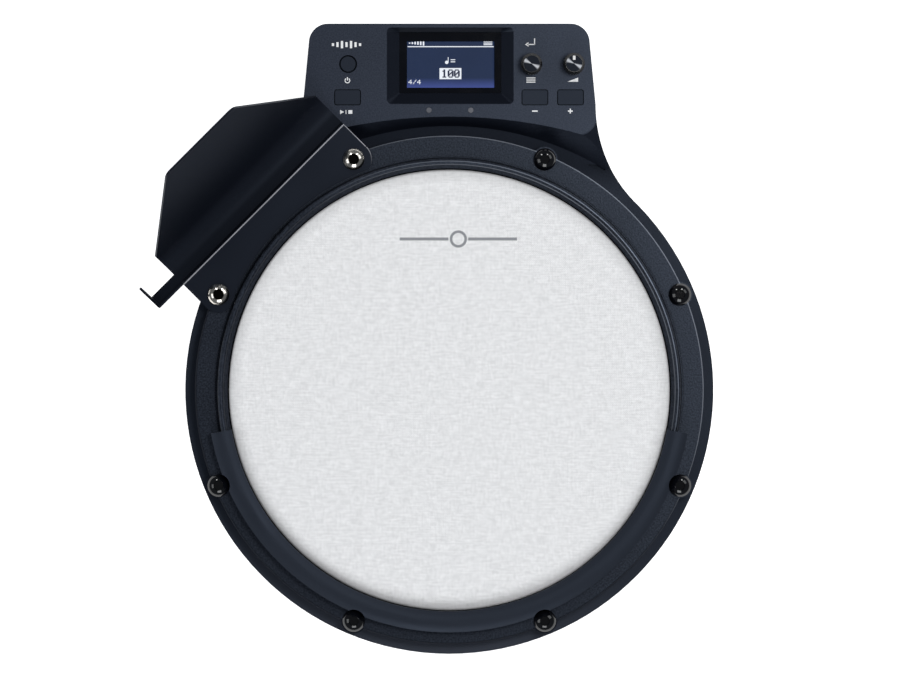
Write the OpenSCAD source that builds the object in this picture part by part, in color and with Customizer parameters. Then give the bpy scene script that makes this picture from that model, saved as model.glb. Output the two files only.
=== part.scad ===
// Round mesh-head practice pad with a control module and a sheet-metal device rest.
// The ring axis is Z, the module lies toward +Y and the feet stand on z = 0.

/* [Body] */
// Outer radius of the round body
shell_r = 152.4; // [140:0.1:165]
// Height of the round rim
rim_z = 37; // [30:0.5:45]
// Height of the control panel
panel_z = 43; // [38:0.5:47]
// Wall thickness of the moulded shell
wall = 3; // [2:0.1:4]
// Half width of the control module where it flares
module_half_w = 84.3; // [78:0.1:90]
// Far edge of the control module
module_top_y = 211; // [200:0.5:220]

/* [Head and hoop] */
// Height of the playing surface
head_z = 50.4; // [48:0.1:54]
// Outer radius of the hoop flange
hoop_r = 146.3; // [144:0.1:149]
// Top of the hoop flange
hoop_z = 48; // [46:0.5:50]
// Radius of the bead along the hoop lip
bead_r = 1.9; // [1.4:0.1:2.2]
// Sweep of the rubber guard in degrees
guard_angle = 159.4; // [120:0.1:180]

/* [Tension bolts] */
// Radius of the bolt circle
bolt_circle = 143.5; // [142:0.1:145]
// Number of tension bolts
bolt_count = 8; // [8:1:8]
// Shank radius of a tension bolt
bolt_shank = 3; // [2.5:0.1:3]
// Head radius of a black bolt
black_head_r = 6.4; // [6:0.1:7]
// Head radius of a plated bolt
plated_head_r = 6.1; // [5.8:0.05:6.6]

/* [Device rest] */
// Sheet thickness of the device rest
sheet = 1.5; // [1:0.1:2]
// Distance of the bend line from the ring axis
bend_t = 151; // [150:0.1:152]
// Half length of the bend line
rest_half = 65.2; // [60:0.1:68]
// Lean of the back plate from horizontal
rest_lean = 55; // [45:1:65]
// Length of the leaning plate along its own face
plate_len = 48; // [40:0.5:60]

/* [Controls] */
// Radius of the two knobs
knob_r = 6.2; // [5:0.1:7]
// Radius of the power button
power_r = 4.3; // [3.8:0.1:4.5]
// Travel of a push button
button_travel = 0.7; // [0.4:0.1:0.8]
// Gap round a button
button_gap = 0.5; // [0.3:0.05:0.6]

/* [Hidden] */
$fn = 96;
foot_z = 3;
plate_top = 6;
deck_under = rim_z - wall;
panel_under = panel_z - wall;
flare_r = 80;
cusp_y = 130;
flare_x = module_half_w + flare_r;
flare_y = sqrt(pow(shell_r + flare_r, 2) - pow(flare_x, 2));
corner_r = 11;
corner_x = 69.9;
corner_y = module_top_y - corner_r;
shoulder_x = 80.9;
ridge_in = 123;
ridge_out = 126.1;
hoop_in = 127.4;
hoop_under = 43.5;
washer_t = 0.6;
black_seat = hoop_z;
plated_seat = hoop_z + sheet;
bolt_tip = 18;
insert_low = 20;
insert_high = 33.9;
board_low = 30.4;
board_top = 32;
switch_top = board_top + 4.2;
shaft_r = 3;
ledge_z = 43.6;
curve_t = 159;
curve_out = 16 + sheet;
power_at = [-58.3, 187.7];
play_at = [-58.6, 168.5];
minus_at = [49.3, 168.5];
plus_at = [69.8, 168.5];
menu_at = [47.3, 187.4];
volume_at = [71.7, 187.5];
key_w = 14.4;
key_d = 8.2;
key_corner = 1;
lights_at = [[-11.7, 161.1], [12.4, 161.1]];
recess_lo = [-36.2, 164.6];
recess_hi = [37.2, 208.8];
floor_lo = [-28.8, 171.1];
floor_hi = [30, 206.3];
recess_floor = 38.5;
lens_t = 1.5;
standoffs = [[-70, 195.5], [-46, 178], [59.5, 195.5], [59.5, 178.2]];
module_bosses = [[-72.8, 202.6], [72.8, 202.6], [-76, 158], [76, 158]];
ring_boss_r = 136;
jack_z = 26.6;
headphone_x = 30;
audio_x = 52;
power_x = -42;
rear_in = module_top_y - wall;
trigger_z = 24;
trigger_r = 60;

function bolt_angle(k) = 22.5 + 45 * (k - 1);
function is_plated(k) = k == 3 || k == 4;
function unit(v) = v / norm(v);

// Outline of the whole body, moved inward by d
module body_outline(d) {
  circle(r = shell_r - d, $fn = 180);
  module_outline(d);
}

// Outline of the control module with its flares, moved inward by d
module module_outline(d) {
  polygon([[-module_half_w + d, 100], [module_half_w - d, 100],
    [module_half_w - d, flare_y], [shoulder_x - d, corner_y],
    [corner_x, module_top_y - d], [-corner_x, module_top_y - d],
    [-shoulder_x + d, corner_y], [-module_half_w + d, flare_y]]);
  for (side = [-1, 1]) {
    translate([side * corner_x, corner_y])
      circle(r = corner_r - d);
    difference() {
      polygon([[0, 90], [side * flare_x, flare_y] * (shell_r - d) / (shell_r + flare_r),
        [side * flare_x, flare_y], [0, flare_y]]);
      translate([side * flare_x, flare_y])
        circle(r = flare_r + d, $fn = 180);
    }
  }
}

// Outline of the hollow inside the body, which stays clear of the ends of the flares
module cavity_outline(d) {
  circle(r = shell_r - d, $fn = 180);
  intersection() {
    module_outline(d);
    translate([-120, cusp_y + 2])
      square([240, 100]);
  }
}

// Cuts the sloping step between the panel and the round rim
module step_cut() {
  step_r = 294;
  step_y = 157.5;
  foot_r = 173.5;
  foot_y = 152.2;
  corner_at = [74.4, 157];
  corner_top = 9.9;
  corner_foot = 34;
  hull() {
    translate([0, step_y - step_r, panel_z])
      cylinder(r = step_r, h = 1, $fn = 180);
    translate([0, foot_y - foot_r, rim_z])
      cylinder(r = foot_r, h = 0.1, $fn = 180);
  }
  for (side = [-1, 1])
    difference() {
      translate([side * 99.4, 132, panel_z - 3])
        cube([50, 50, 8], center = true);
      translate([side * corner_at[0], corner_at[1], rim_z - 2])
        cylinder(r1 = corner_foot + (corner_foot - corner_top) / 3, r2 = corner_top,
          h = panel_z - rim_z + 2);
    }
}

// Lowers the ends of the flares below the round rim
module cusp_cut() {
  difference() {
    translate([-120, 100, rim_z - 2.2])
      cube([240, cusp_y - 100, 2.3]);
    translate([0, 0, rim_z - 3])
      cylinder(r = shell_r, h = 4, $fn = 180);
  }
}

// Dished recess round the display
module recess_cut() {
  top_r = 2.5;
  floor_r = 0.6;
  hull()
    for (x = [0, 1], y = [0, 1]) {
      translate([x == 0 ? recess_lo[0] + top_r : recess_hi[0] - top_r,
        y == 0 ? recess_lo[1] + top_r : recess_hi[1] - top_r, panel_z])
        cylinder(r = top_r, h = 0.5, $fn = 32);
      translate([x == 0 ? floor_lo[0] + floor_r : floor_hi[0] - floor_r,
        y == 0 ? floor_lo[1] + floor_r : floor_hi[1] - floor_r, recess_floor])
        cylinder(r = floor_r, h = 0.1, $fn = 32);
    }
}

module key_outline(grow) {
  for (x = [-1, 1], y = [-1, 1])
    translate([x * (key_w / 2 - key_corner), y * (key_d / 2 - key_corner)])
      circle(r = key_corner + grow, $fn = 32);
  square([key_w - 2 * key_corner, key_d + 2 * grow], center = true);
  square([key_w + 2 * grow, key_d - 2 * key_corner], center = true);
}

// Openings in the control panel for keys, knobs and lights
module control_cuts() {
  above = panel_z + 1;
  for (at = [play_at, minus_at, plus_at])
    translate([at[0], at[1], panel_under - 1])
      linear_extrude(above - panel_under + 1)
        key_outline(button_gap);
  translate([power_at[0], power_at[1], panel_under - 1]) {
    cylinder(r = power_r + button_gap, h = 6);
    translate([0, 0, panel_z - panel_under + 0.5])
      cylinder(r1 = power_r + button_gap, r2 = power_r + 1.4, h = 1);
  }
  for (at = [menu_at, volume_at])
    translate([at[0], at[1], panel_under - 1])
      cylinder(r = 3.7, h = 6);
  for (at = lights_at)
    translate([at[0], at[1], panel_under - 1])
      cylinder(r = 1.6, h = 6);
}

// One moulding: round body, bearing ridge, lugs and control module
module upper_shell() {
  lug_r = 8;
  boss_r = 4;
  color("#23262e")
    difference() {
      union() {
        difference() {
          union() {
            difference() {
              translate([0, 0, foot_z])
                linear_extrude(rim_z - foot_z)
                  body_outline(0);
              cusp_cut();
            }
            difference() {
              translate([0, 0, rim_z])
                linear_extrude(panel_z - rim_z)
                  intersection() {
                    module_outline(0);
                    translate([-120, 105])
                      square([240, 120]);
                  }
              step_cut();
            }
          }
          translate([0, 0, foot_z - 1])
            linear_extrude(deck_under - foot_z + 1)
              cavity_outline(wall);
          translate([0, 0, foot_z])
            linear_extrude(panel_under - foot_z)
              intersection() {
                module_outline(wall);
                translate([-100, 158.6])
                  square([200, 60]);
              }
          translate([0, 0, foot_z])
            cylinder(r = ridge_in, h = 60, $fn = 180);
        }
        translate([recess_lo[0] - 1.5, recess_lo[1] - 1.5, lens_floor() - 2])
          cube([recess_hi[0] - recess_lo[0] + 3, module_top_y - recess_lo[1],
            panel_under - lens_floor() + 2.1]);
        rotate_extrude($fn = 180)
          polygon([[ridge_in, deck_under], [ridge_out, deck_under],
            [ridge_out, head_z - 1.5], [ridge_out - 1.3, head_z - 0.7],
            [ridge_out - 2.3, head_z - 0.7], [ridge_in, head_z - 1.8]]);
        for (k = [1 : bolt_count])
          rotate([0, 0, bolt_angle(k)])
            translate([bolt_circle, 0, insert_low - 4])
              difference() {
                cylinder(r = lug_r, h = deck_under - insert_low + 4.5);
                translate([shell_r - bolt_circle - 1, -10, -1])
                  cube([20, 20, 40]);
              }
        for (k = [0 : bolt_count - 1])
          rotate([0, 0, 45 * k])
            translate([ring_boss_r, 0, plate_top])
              cylinder(r = boss_r, h = deck_under - plate_top + 0.5);
        for (at = module_bosses)
          translate([at[0], at[1], plate_top])
            cylinder(r = 3.6, h = panel_under - plate_top + 0.5);
        for (at = standoffs)
          translate([at[0], at[1], board_top])
            cylinder(r = 2.5, h = panel_under - board_top + 0.5);
      }
      recess_cut();
      translate([floor_lo[0], floor_lo[1], lens_floor()])
        cube([floor_hi[0] - floor_lo[0], floor_hi[1] - floor_lo[1], lens_t + 0.1]);
      translate([-27, 172.8, lens_floor() - 5])
        cube([54.4, 31.4, 6]);
      control_cuts();
      for (k = [1 : bolt_count])
        rotate([0, 0, bolt_angle(k)])
          translate([bolt_circle, 0, 0]) {
            cylinder(r = 3.4, h = 60);
            translate([0, 0, insert_low])
              cylinder(r = 5, h = insert_high - insert_low);
          }
      case_screw_sites()
        cylinder(r = 1.52, h = 13);
      for (at = standoffs)
        translate([at[0], at[1], board_top - 1])
          cylinder(r = 1.02, h = 6);
      for (x = [headphone_x, audio_x])
        translate([x, module_top_y + 1, jack_z])
          rotate([90, 0, 0])
            cylinder(r = 3.6, h = 8);
      translate([power_x - 5, rear_in - 1, 25.2])
        cube([10, 8, 4.2]);
    }
}

function lens_floor() = recess_floor - lens_t;

// Places its children at the case screws
module case_screw_sites() {
  for (k = [0 : bolt_count - 1])
    rotate([0, 0, 45 * k])
      translate([ring_boss_r, 0, foot_z])
        children();
  for (at = module_bosses)
    translate([at[0], at[1], foot_z])
      children();
}

// Moulded base that closes the body from below
module bottom_plate() {
  color("#1d2027")
    difference() {
      union() {
        translate([0, 0, foot_z])
          linear_extrude(plate_top - foot_z)
            cavity_outline(wall + 0.15);
        cylinder(r = 13, h = 16);
        for (a = [45 : 90 : 315])
          rotate([0, 0, a])
            translate([trigger_r - 10, 0, foot_z])
              cylinder(r = 5, h = trigger_z - foot_z);
      }
      translate([0, 0, -1])
        cylinder(r = 6.5, h = 13);
      case_screw_sites() {
        cylinder(r = 1.6, h = 10);
        translate([0, 0, -1])
          cylinder(r = 3.1, h = 2.6);
      }
      foot_sites()
        cylinder(r = 9, h = 1);
      for (a = [45 : 90 : 315])
        rotate([0, 0, a])
          translate([trigger_r - 10, 0, trigger_z - 12])
            cylinder(r = 1.25, h = 20);
    }
}

module foot_sites() {
  for (a = [200 : 70 : 340])
    rotate([0, 0, a])
      translate([118, 0, foot_z])
        children();
  for (x = [-60, 60])
    translate([x, 186, foot_z])
      children();
}

module rubber_feet() {
  color("#15161a")
    foot_sites()
      translate([0, 0, -foot_z])
        cylinder(r = 9, h = foot_z + 1);
}

// Pan-head screws that hold the base to the bosses
module case_screws() {
  color("#6d7078")
    case_screw_sites()
      difference() {
        union() {
          translate([0, 0, 0.2])
            cylinder(r = 2.9, h = 1.4);
          cylinder(r = 1.5, h = 12.5);
        }
        for (a = [0, 90])
          rotate([0, 0, a])
            translate([-1.5, -0.3, -1])
              cube([3, 0.6, 2]);
      }
}

// Threaded metal bush for a stand
module stand_insert() {
  color("#b9975a")
    difference() {
      cylinder(r = 6.5, h = 12);
      translate([0, 0, -1])
        cylinder(r = 4, h = 14);
    }
}

// Threaded bushes that the tension bolts screw into
module bolt_inserts() {
  color("#b9975a")
    for (k = [1 : bolt_count])
      rotate([0, 0, bolt_angle(k)])
        translate([bolt_circle, 0, insert_low])
          difference() {
            cylinder(r = 5, h = insert_high - insert_low);
            translate([0, 0, -1])
              cylinder(r = bolt_shank + 0.05, h = 20);
          }
}

// Section of the hoop in radius and height, grown by g on its lip
module hoop_section(g) {
  bead_at = [131.4, 52.6];
  polygon([[hoop_in - g, 44], [hoop_in - g, 50.6 + g], [129.6 - g, 52.8 + g],
    [bead_at[0], 53], [133.2 + g, 52.6], [133.2 + g, 47.2], [134.7, 47.2],
    [134.7, hoop_z], [hoop_r - 0.6, hoop_z], [hoop_r, hoop_z - 0.6],
    [hoop_r, hoop_under], [133, hoop_under], [131.5, 44]]);
  translate(bead_at)
    circle(r = bead_r + g);
}

// Counter hoop with its lip and eight bolt ears
module hoop() {
  ear_r = 7.3;
  color("#2b2f39")
    difference() {
      union() {
        rotate_extrude($fn = 180)
          hoop_section(0);
        for (k = [1 : bolt_count])
          rotate([0, 0, bolt_angle(k)])
            translate([bolt_circle, 0, hoop_under])
              cylinder(r = ear_r, h = hoop_z - hoop_under);
      }
      for (k = [1 : bolt_count])
        rotate([0, 0, bolt_angle(k)])
          translate([bolt_circle, 0, hoop_under - 1])
            cylinder(r = 3.3, h = 8);
    }
}

// Metal ring that carries the mesh
module flesh_ring() {
  color("#8d9096")
    rotate_extrude($fn = 180)
      polygon([[127.55, 39.2], [131.2, 39.2], [131.2, 44], [127.55, 44]]);
}

// Woven head stretched over the bearing ridge and down to its ring
module mesh_head() {
  color("#e2e3e6")
    rotate_extrude($fn = 180)
      polygon([[0, head_z - 0.5], [125, head_z - 0.5], [126.2, head_z - 1.4],
        [126.2, 40.2], [127.55, 40.2], [127.55, 41.2], [126.7, 41.2],
        [126.7, head_z - 1], [125.2, head_z], [0, head_z]]);
}

// Rubber guard clipped over the lip on the player's side
module rim_guard() {
  crown_r = 12;
  crown_top = 56.8;
  color("#2a2f3a")
    difference() {
      rotate_extrude(angle = guard_angle, start = 270 - guard_angle / 2, $fn = 180)
        difference() {
          intersection() {
            translate([127, hoop_z])
              square([12, 12]);
            translate([133, crown_top - crown_r])
              circle(r = crown_r);
            polygon([[127, 51.3], [133.3, hoop_z], [139, hoop_z], [139, 60], [127, 60]]);
          }
          hoop_section(0.05);
        }
      guard_relief();
    }
}

// Clearance for the bolt heads beside the guard
module guard_relief() {
  for (k = [5 : bolt_count])
    rotate([0, 0, bolt_angle(k)])
      translate([bolt_circle, 0, hoop_z - 1])
        cylinder(r = black_head_r + 0.35, h = 20);
}

// Turns a drawing in distance, height and length into the frame of the rest
module rest_frame() {
  rotate([0, 0, 135])
    rotate([90, 0, 0])
      children();
}

// Points of an arc of radius r that rounds the corner at c between p and q
function rounded(p, c, q, r) =
  let (u = unit(p - c), v = unit(q - c), half = acos(u * v) / 2,
    centre = c + unit(u + v) * r / sin(half), from = c + u * r / tan(half) - centre,
    to = c + v * r / tan(half) - centre, a = atan2(from[1], from[0]),
    turn = atan2(from[0] * to[1] - from[1] * to[0], from * to), steps = 6)
  [for (i = [0 : steps]) centre + r * [cos(a + turn * i / steps), sin(a + turn * i / steps)]];

// Points on an arc about c from angle a to angle b
function arc(c, r, a, b, steps) =
  [for (i = [0 : steps]) c + r * [cos(a + (b - a) * i / steps), sin(a + (b - a) * i / steps)]];

// Bent strip: flange edge, front wall, ledge, curve and leaning plate, as a section
module rest_section() {
  small = 0.5;
  large = small + sheet;
  upper = [bend_t - small, hoop_z - small];
  lower = [bend_t + large, ledge_z + large];
  curve = [curve_t, ledge_z + curve_out];
  along = [cos(rest_lean), sin(rest_lean)];
  inner = arc(curve, curve_out - sheet, 270, 270 + rest_lean, 14);
  outer = arc(curve, curve_out, 270 + rest_lean, 270, 14);
  polygon(concat([[bend_t - 2, hoop_z + sheet]], arc(upper, large, 90, 0, 6),
    arc(lower, small, 180, 270, 6), inner, [inner[14] + along * plate_len],
    [outer[0] + along * plate_len], outer, arc(lower, large, 270, 180, 6),
    arc(upper, small, 0, 90, 6), [[bend_t - 2, hoop_z]]));
}

// Narrow arm that carries on from the ledge, with the foot of the front wall as a lip
module arm_section() {
  small = 0.5;
  large = small + sheet;
  lower = [bend_t + large, ledge_z + large];
  polygon(concat([[bend_t + sheet, ledge_z + 3]], arc(lower, small, 180, 270, 6),
    [[curve_t, ledge_z + sheet], [curve_t, ledge_z]], arc(lower, large, 270, 180, 6),
    [[bend_t, ledge_z + 3]]));
}

// Sheet-metal rest for a phone, clamped by the two plated bolts
module device_rest() {
  end_t = curve_t + curve_out * sin(rest_lean);
  end_z = ledge_z + curve_out * (1 - cos(rest_lean));
  tab_s = 84.8;
  color("#22242b") {
    difference() {
      union() {
        translate([0, 0, hoop_z])
          rotate([0, 0, 135])
            linear_extrude(sheet)
              flange_outline();
        rest_frame()
          translate([0, 0, -rest_half])
            linear_extrude(2 * rest_half)
              rest_section();
        rest_frame()
          translate([0, 0, -tab_s])
            linear_extrude(tab_s - rest_half + 0.5)
              arm_section();
        rest_frame()
          translate([0, 0, -tab_s])
            linear_extrude(sheet)
              polygon([[152, 43.6], [160, 43.6], [161.4, 46.4], [166.8, 54],
                [166.8, 57.4], [163.4, 57.4], [152, 49]]);
      }
      for (k = [3, 4])
        rotate([0, 0, bolt_angle(k)])
          translate([bolt_circle, 0, hoop_z - 1])
            cylinder(r = 3.3, h = 4);
      for (side = [0, 1])
        rest_frame()
          mirror([0, 0, side])
            translate([end_t, end_z, 0])
              rotate([0, 0, rest_lean])
                rotate([90, 0, 0])
                  translate([0, 0, -10])
                    linear_extrude(20)
                      plate_trim();
    }
  }
}

// What is cut away beside one half of the leaning plate
module plate_trim() {
  top_half = 26.8;
  side_top = [1.2, rest_half];
  far_corner = [plate_len, top_half];
  past = side_top + (side_top - far_corner) * 0.3;
  arc = rounded(side_top, far_corner, [plate_len, 0], 6);
  polygon(concat([past], arc, [[plate_len + 10, arc[len(arc) - 1][1]],
    [plate_len + 10, past[1]]]));
}

// Plan of the clamped flange in distance and length
module flange_outline() {
  side = 10.4;
  half_bolt = bolt_circle * sin(22.5);
  bolt_t = bolt_circle * cos(22.5);
  difference() {
    union() {
      translate([bolt_t, -rest_half])
        square([bend_t - 0.5 - bolt_t, 2 * rest_half]);
      translate([110, -half_bolt])
        square([bolt_t - 109, 2 * half_bolt]);
      for (y = [-half_bolt, half_bolt])
        translate([bolt_t, y])
          circle(r = side);
    }
    circle(r = 135, $fn = 180);
  }
}

function seat(k) = is_plated(k) ? plated_seat : black_seat;

// Domed head with a hex socket, and a plain shank
module tension_bolt(k) {
  head_r = is_plated(k) ? plated_head_r : black_head_r;
  dome = is_plated(k) ? 3 : 3.6;
  skirt = 0.7;
  ball = (head_r * head_r + dome * dome) / (2 * dome);
  socket_r = 2.9;
  under = seat(k) + washer_t;
  color(is_plated(k) ? "#c9c5ba" : "#0e0f12")
    rotate([0, 0, bolt_angle(k)])
      translate([bolt_circle, 0, 0])
        difference() {
          union() {
            translate([0, 0, bolt_tip])
              cylinder(r = bolt_shank, h = under - bolt_tip + 0.2);
            intersection() {
              translate([0, 0, under])
                cylinder(r = head_r, h = dome + skirt);
              translate([0, 0, under + skirt + dome - ball])
                sphere(r = ball);
            }
          }
          translate([0, 0, under + 0.4])
            cylinder(r = socket_r, h = 8, $fn = 6);
          translate([0, 0, under + skirt + dome - 1])
            cylinder(r1 = socket_r - 0.5, r2 = socket_r + 1, h = 1.5);
        }
}

module bolt_washer(k) {
  color("#3c3f46")
    rotate([0, 0, bolt_angle(k)])
      translate([bolt_circle, 0, seat(k)])
        difference() {
          cylinder(r = 5.6, h = washer_t);
          translate([0, 0, -1])
            cylinder(r = bolt_shank + 0.05, h = 3);
        }
}

module display_lens() {
  color("#101218")
    translate([floor_lo[0] + 0.1, floor_lo[1] + 0.1, lens_floor()])
      cube([floor_hi[0] - floor_lo[0] - 0.2, floor_hi[1] - floor_lo[1] - 0.2, lens_t]);
}

// Display module standing on the board behind the lens
module display_panel() {
  color("#4a5590")
    translate([-26.8, 173, board_top])
      cube([54, 31, lens_floor() - board_top - 0.2]);
}

module main_board() {
  color("#2f6b3f")
    difference() {
      translate([0, 0, board_low])
        linear_extrude(board_top - board_low)
          polygon([[-77, 163.5], [-30, 163.5], [-30, 158.5], [30, 158.5], [30, 163.5],
            [77, 163.5], [77, 199.8], [-77, 199.8]]);
      for (at = standoffs)
        translate([at[0], at[1], board_low - 1])
          cylinder(r = 1.2, h = 4);
      for (at = module_bosses)
        translate([at[0], at[1], board_low - 1])
          cylinder(r = 4.1, h = 4);
    }
}

module board_screws() {
  color("#6d7078")
    for (at = standoffs)
      translate([at[0], at[1], board_low - 1.4]) {
        cylinder(r = 2, h = 1.4);
        cylinder(r = 1, h = 6);
      }
}

// Round threaded nose and square case of a rotary part
module rotary_case(at, side) {
  nose_r = 3.5;
  translate([at[0], at[1], 0])
    difference() {
      union() {
        translate([-side / 2, -side / 2, board_top])
          cube([side, side, 6.2]);
        translate([0, 0, board_top + 6])
          cylinder(r = nose_r, h = panel_z + 0.2 - board_top - 6);
      }
      translate([0, 0, board_top + 5])
        cylinder(r = shaft_r + 0.05, h = 12);
      translate([0, 0, board_top + 2])
        cylinder(r = 1.55, h = 8);
    }
}

module encoder_body() {
  color("#9a9da3")
    rotary_case(menu_at, 12);
}

// Small plunger that the pushed shaft works on
module encoder_plunger() {
  color("#d8d4c6")
    translate([menu_at[0], menu_at[1], board_top + 2.6])
      cylinder(r = 1.5, h = 3.4);
}

// Knob body with fine ribs, a dished top and its shaft
module knob(at, shaft_low) {
  knob_low = panel_z + 0.9;
  knob_high = panel_z + 10.5;
  rib_count = 24;
  translate([at[0], at[1], 0])
    difference() {
      union() {
        translate([0, 0, shaft_low])
          cylinder(r = shaft_r, h = knob_low - shaft_low + 1);
        translate([0, 0, knob_low])
          cylinder(r = knob_r, h = knob_high - knob_low - 1.2);
        translate([0, 0, knob_high - 1.2])
          cylinder(r1 = knob_r, r2 = knob_r - 1.2, h = 1.2);
      }
      for (a = [0 : 360 / rib_count : 359])
        rotate([0, 0, a])
          translate([knob_r + 0.15, 0, knob_low + 1])
            cylinder(r = 0.45, h = 12, $fn = 16);
      translate([0, 0, knob_high - 0.3])
        cylinder(r = knob_r - 1.7, h = 1);
    }
}

module menu_knob() {
  color("#17191e")
    knob(menu_at, board_top + 6.05);
}

module volume_pot() {
  color("#9a9da3")
    rotary_case(volume_at, 11);
}

module pointer_shape() {
  translate([volume_at[0] - 0.75, volume_at[1] + 2.1, panel_z + 9.2])
    cube([1.5, 2.8, 1.2]);
}

module volume_knob() {
  color("#17191e")
    difference() {
      knob(volume_at, board_top + 5.2);
      pointer_shape();
    }
}

module volume_pointer() {
  color("#f2f2f2")
    intersection() {
      pointer_shape();
      translate([volume_at[0], volume_at[1], panel_z])
        union() {
          cylinder(r = knob_r, h = 9.3);
          translate([0, 0, 9.3])
            cylinder(r1 = knob_r, r2 = knob_r - 1.2, h = 1.2);
        }
    }
}

// Rectangular key with a retaining flange and a stem
module key(at) {
  color("#2a2d35")
    translate([at[0], at[1], 0]) {
      translate([0, 0, panel_under - 1])
        linear_extrude(panel_z + 0.5 - panel_under + 1)
          key_outline(0);
      translate([0, 0, panel_under - 1])
        linear_extrude(0.9)
          key_outline(1);
      translate([0, 0, switch_top + button_travel + 0.05])
        cylinder(r = 2, h = panel_under - switch_top - button_travel - 0.05);
    }
}

module power_button() {
  color("#2a2d35")
    translate([power_at[0], power_at[1], 0]) {
      translate([0, 0, panel_under - 1])
        cylinder(r = power_r, h = panel_z + 0.3 - panel_under + 1);
      translate([0, 0, panel_under - 1])
        cylinder(r = power_r + 1.2, h = 0.9);
      translate([0, 0, switch_top + button_travel + 0.05])
        cylinder(r = 2, h = panel_under - switch_top - button_travel - 0.05);
    }
}

module play_button() {
  key(play_at);
}

module minus_button() {
  key(minus_at);
}

module plus_button() {
  key(plus_at);
}

// Four tactile switches on the board
module button_switches() {
  color("#c4c6ca")
    for (at = [power_at, play_at, minus_at, plus_at])
      translate([at[0], at[1], board_top]) {
        translate([-3, -3, 0])
          cube([6, 6, 3.4]);
        cylinder(r = 1.7, h = switch_top - board_top);
      }
}

// Light pipes for the two beat indicators
module beat_lights() {
  color("#b9bcc4")
    for (at = lights_at)
      translate([at[0], at[1], board_top + 1.4])
        cylinder(r = 1.5, h = panel_z - board_top - 1.4);
}

module indicator_leds() {
  color("#e8e2c8")
    for (at = lights_at)
      translate([at[0] - 1, at[1] - 1, board_top])
        cube([2, 2, 1.2]);
}

// Jack under the board with a round nose through the rear wall
module jack(x) {
  body_w = 11;
  body_d = 13;
  bore_r = 1.8;
  translate([x, 0, jack_z])
    difference() {
      union() {
        translate([-body_w / 2, rear_in - 0.3 - body_d, -3.5])
          cube([body_w, body_d, board_low - jack_z + 3.5]);
        translate([0, module_top_y + 0.2, 0])
          rotate([90, 0, 0])
            cylinder(r = 3.4, h = 5);
      }
      translate([0, module_top_y + 1, 0])
        rotate([90, 0, 0])
          cylinder(r = bore_r, h = 14.5);
    }
}

module headphone_jack() {
  color("#30343c")
    jack(headphone_x);
}

module audio_input_jack() {
  color("#30343c")
    jack(audio_x);
}

// Flat power inlet under the board
module power_socket() {
  shell_w = 9;
  color("#a7abb2")
    translate([power_x, 0, 0])
      difference() {
        union() {
          translate([-shell_w / 2, rear_in - 7, 25.6])
            cube([shell_w, 9.6, 3.3]);
          translate([-shell_w / 2, rear_in - 7, 25.6])
            cube([shell_w, 6, board_low - 25.6]);
        }
        translate([-shell_w / 2 + 0.4, rear_in - 5, 26])
          cube([shell_w - 0.8, 12, 2.5]);
        translate([-3, rear_in - 8, 29.3])
          cube([6, 10, 0.6]);
      }
}

// Steel disc that carries the sensors
module sensor_plate() {
  color("#8b8f97")
    translate([0, 0, trigger_z])
      difference() {
        cylinder(r = trigger_r, h = 1.5);
        for (a = [45 : 90 : 315])
          rotate([0, 0, a])
            translate([trigger_r - 10, 0, -1])
              cylinder(r = 1.6, h = 4);
      }
}

module plate_screws() {
  color("#6d7078")
    for (a = [45 : 90 : 315])
      rotate([0, 0, a])
        translate([trigger_r - 10, 0, 0]) {
          translate([0, 0, trigger_z - 9])
            cylinder(r = 1.25, h = 11);
          translate([0, 0, trigger_z + 1.5])
            cylinder(r = 3, h = 1.6);
        }
}

module sensor_pad() {
  color("#3a3a3e")
    translate([0, 0, trigger_z + 1.5])
      cylinder(r = 15, h = 2);
}

module head_sensor() {
  color("#c9a65a")
    translate([0, 0, trigger_z + 3.5])
      cylinder(r = 13.5, h = 0.5);
}

// Foam cone between the sensor and the underside of the head
module sensor_cone() {
  color("#26272b")
    translate([0, 0, trigger_z + 4])
      cylinder(r1 = 13.5, r2 = 5, h = head_z - 0.5 - trigger_z - 4);
}

module rim_sensor() {
  color("#c9a65a")
    translate([36, 0, trigger_z + 1.5])
      cylinder(r = 10, h = 0.5);
}

upper_shell();
bottom_plate();
case_screws();
rubber_feet();
stand_insert();
bolt_inserts();
hoop();
flesh_ring();
mesh_head();
rim_guard();
device_rest();
tension_bolt(1);  // tension_bolt_1
tension_bolt(2);  // tension_bolt_2
tension_bolt(3);  // tension_bolt_3
tension_bolt(4);  // tension_bolt_4
tension_bolt(5);  // tension_bolt_5
tension_bolt(6);  // tension_bolt_6
tension_bolt(7);  // tension_bolt_7
tension_bolt(8);  // tension_bolt_8
bolt_washer(1);  // bolt_washer_1
bolt_washer(2);  // bolt_washer_2
bolt_washer(3);  // bolt_washer_3
bolt_washer(4);  // bolt_washer_4
bolt_washer(5);  // bolt_washer_5
bolt_washer(6);  // bolt_washer_6
bolt_washer(7);  // bolt_washer_7
bolt_washer(8);  // bolt_washer_8
display_lens();
display_panel();
main_board();
board_screws();
encoder_body();
encoder_plunger();
menu_knob();
volume_pot();
volume_knob();
volume_pointer();
power_button();
play_button();
minus_button();
plus_button();
button_switches();
beat_lights();
indicator_leds();
headphone_jack();
audio_input_jack();
power_socket();
sensor_plate();
plate_screws();
sensor_pad();
head_sensor();
sensor_cone();
rim_sensor();
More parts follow.
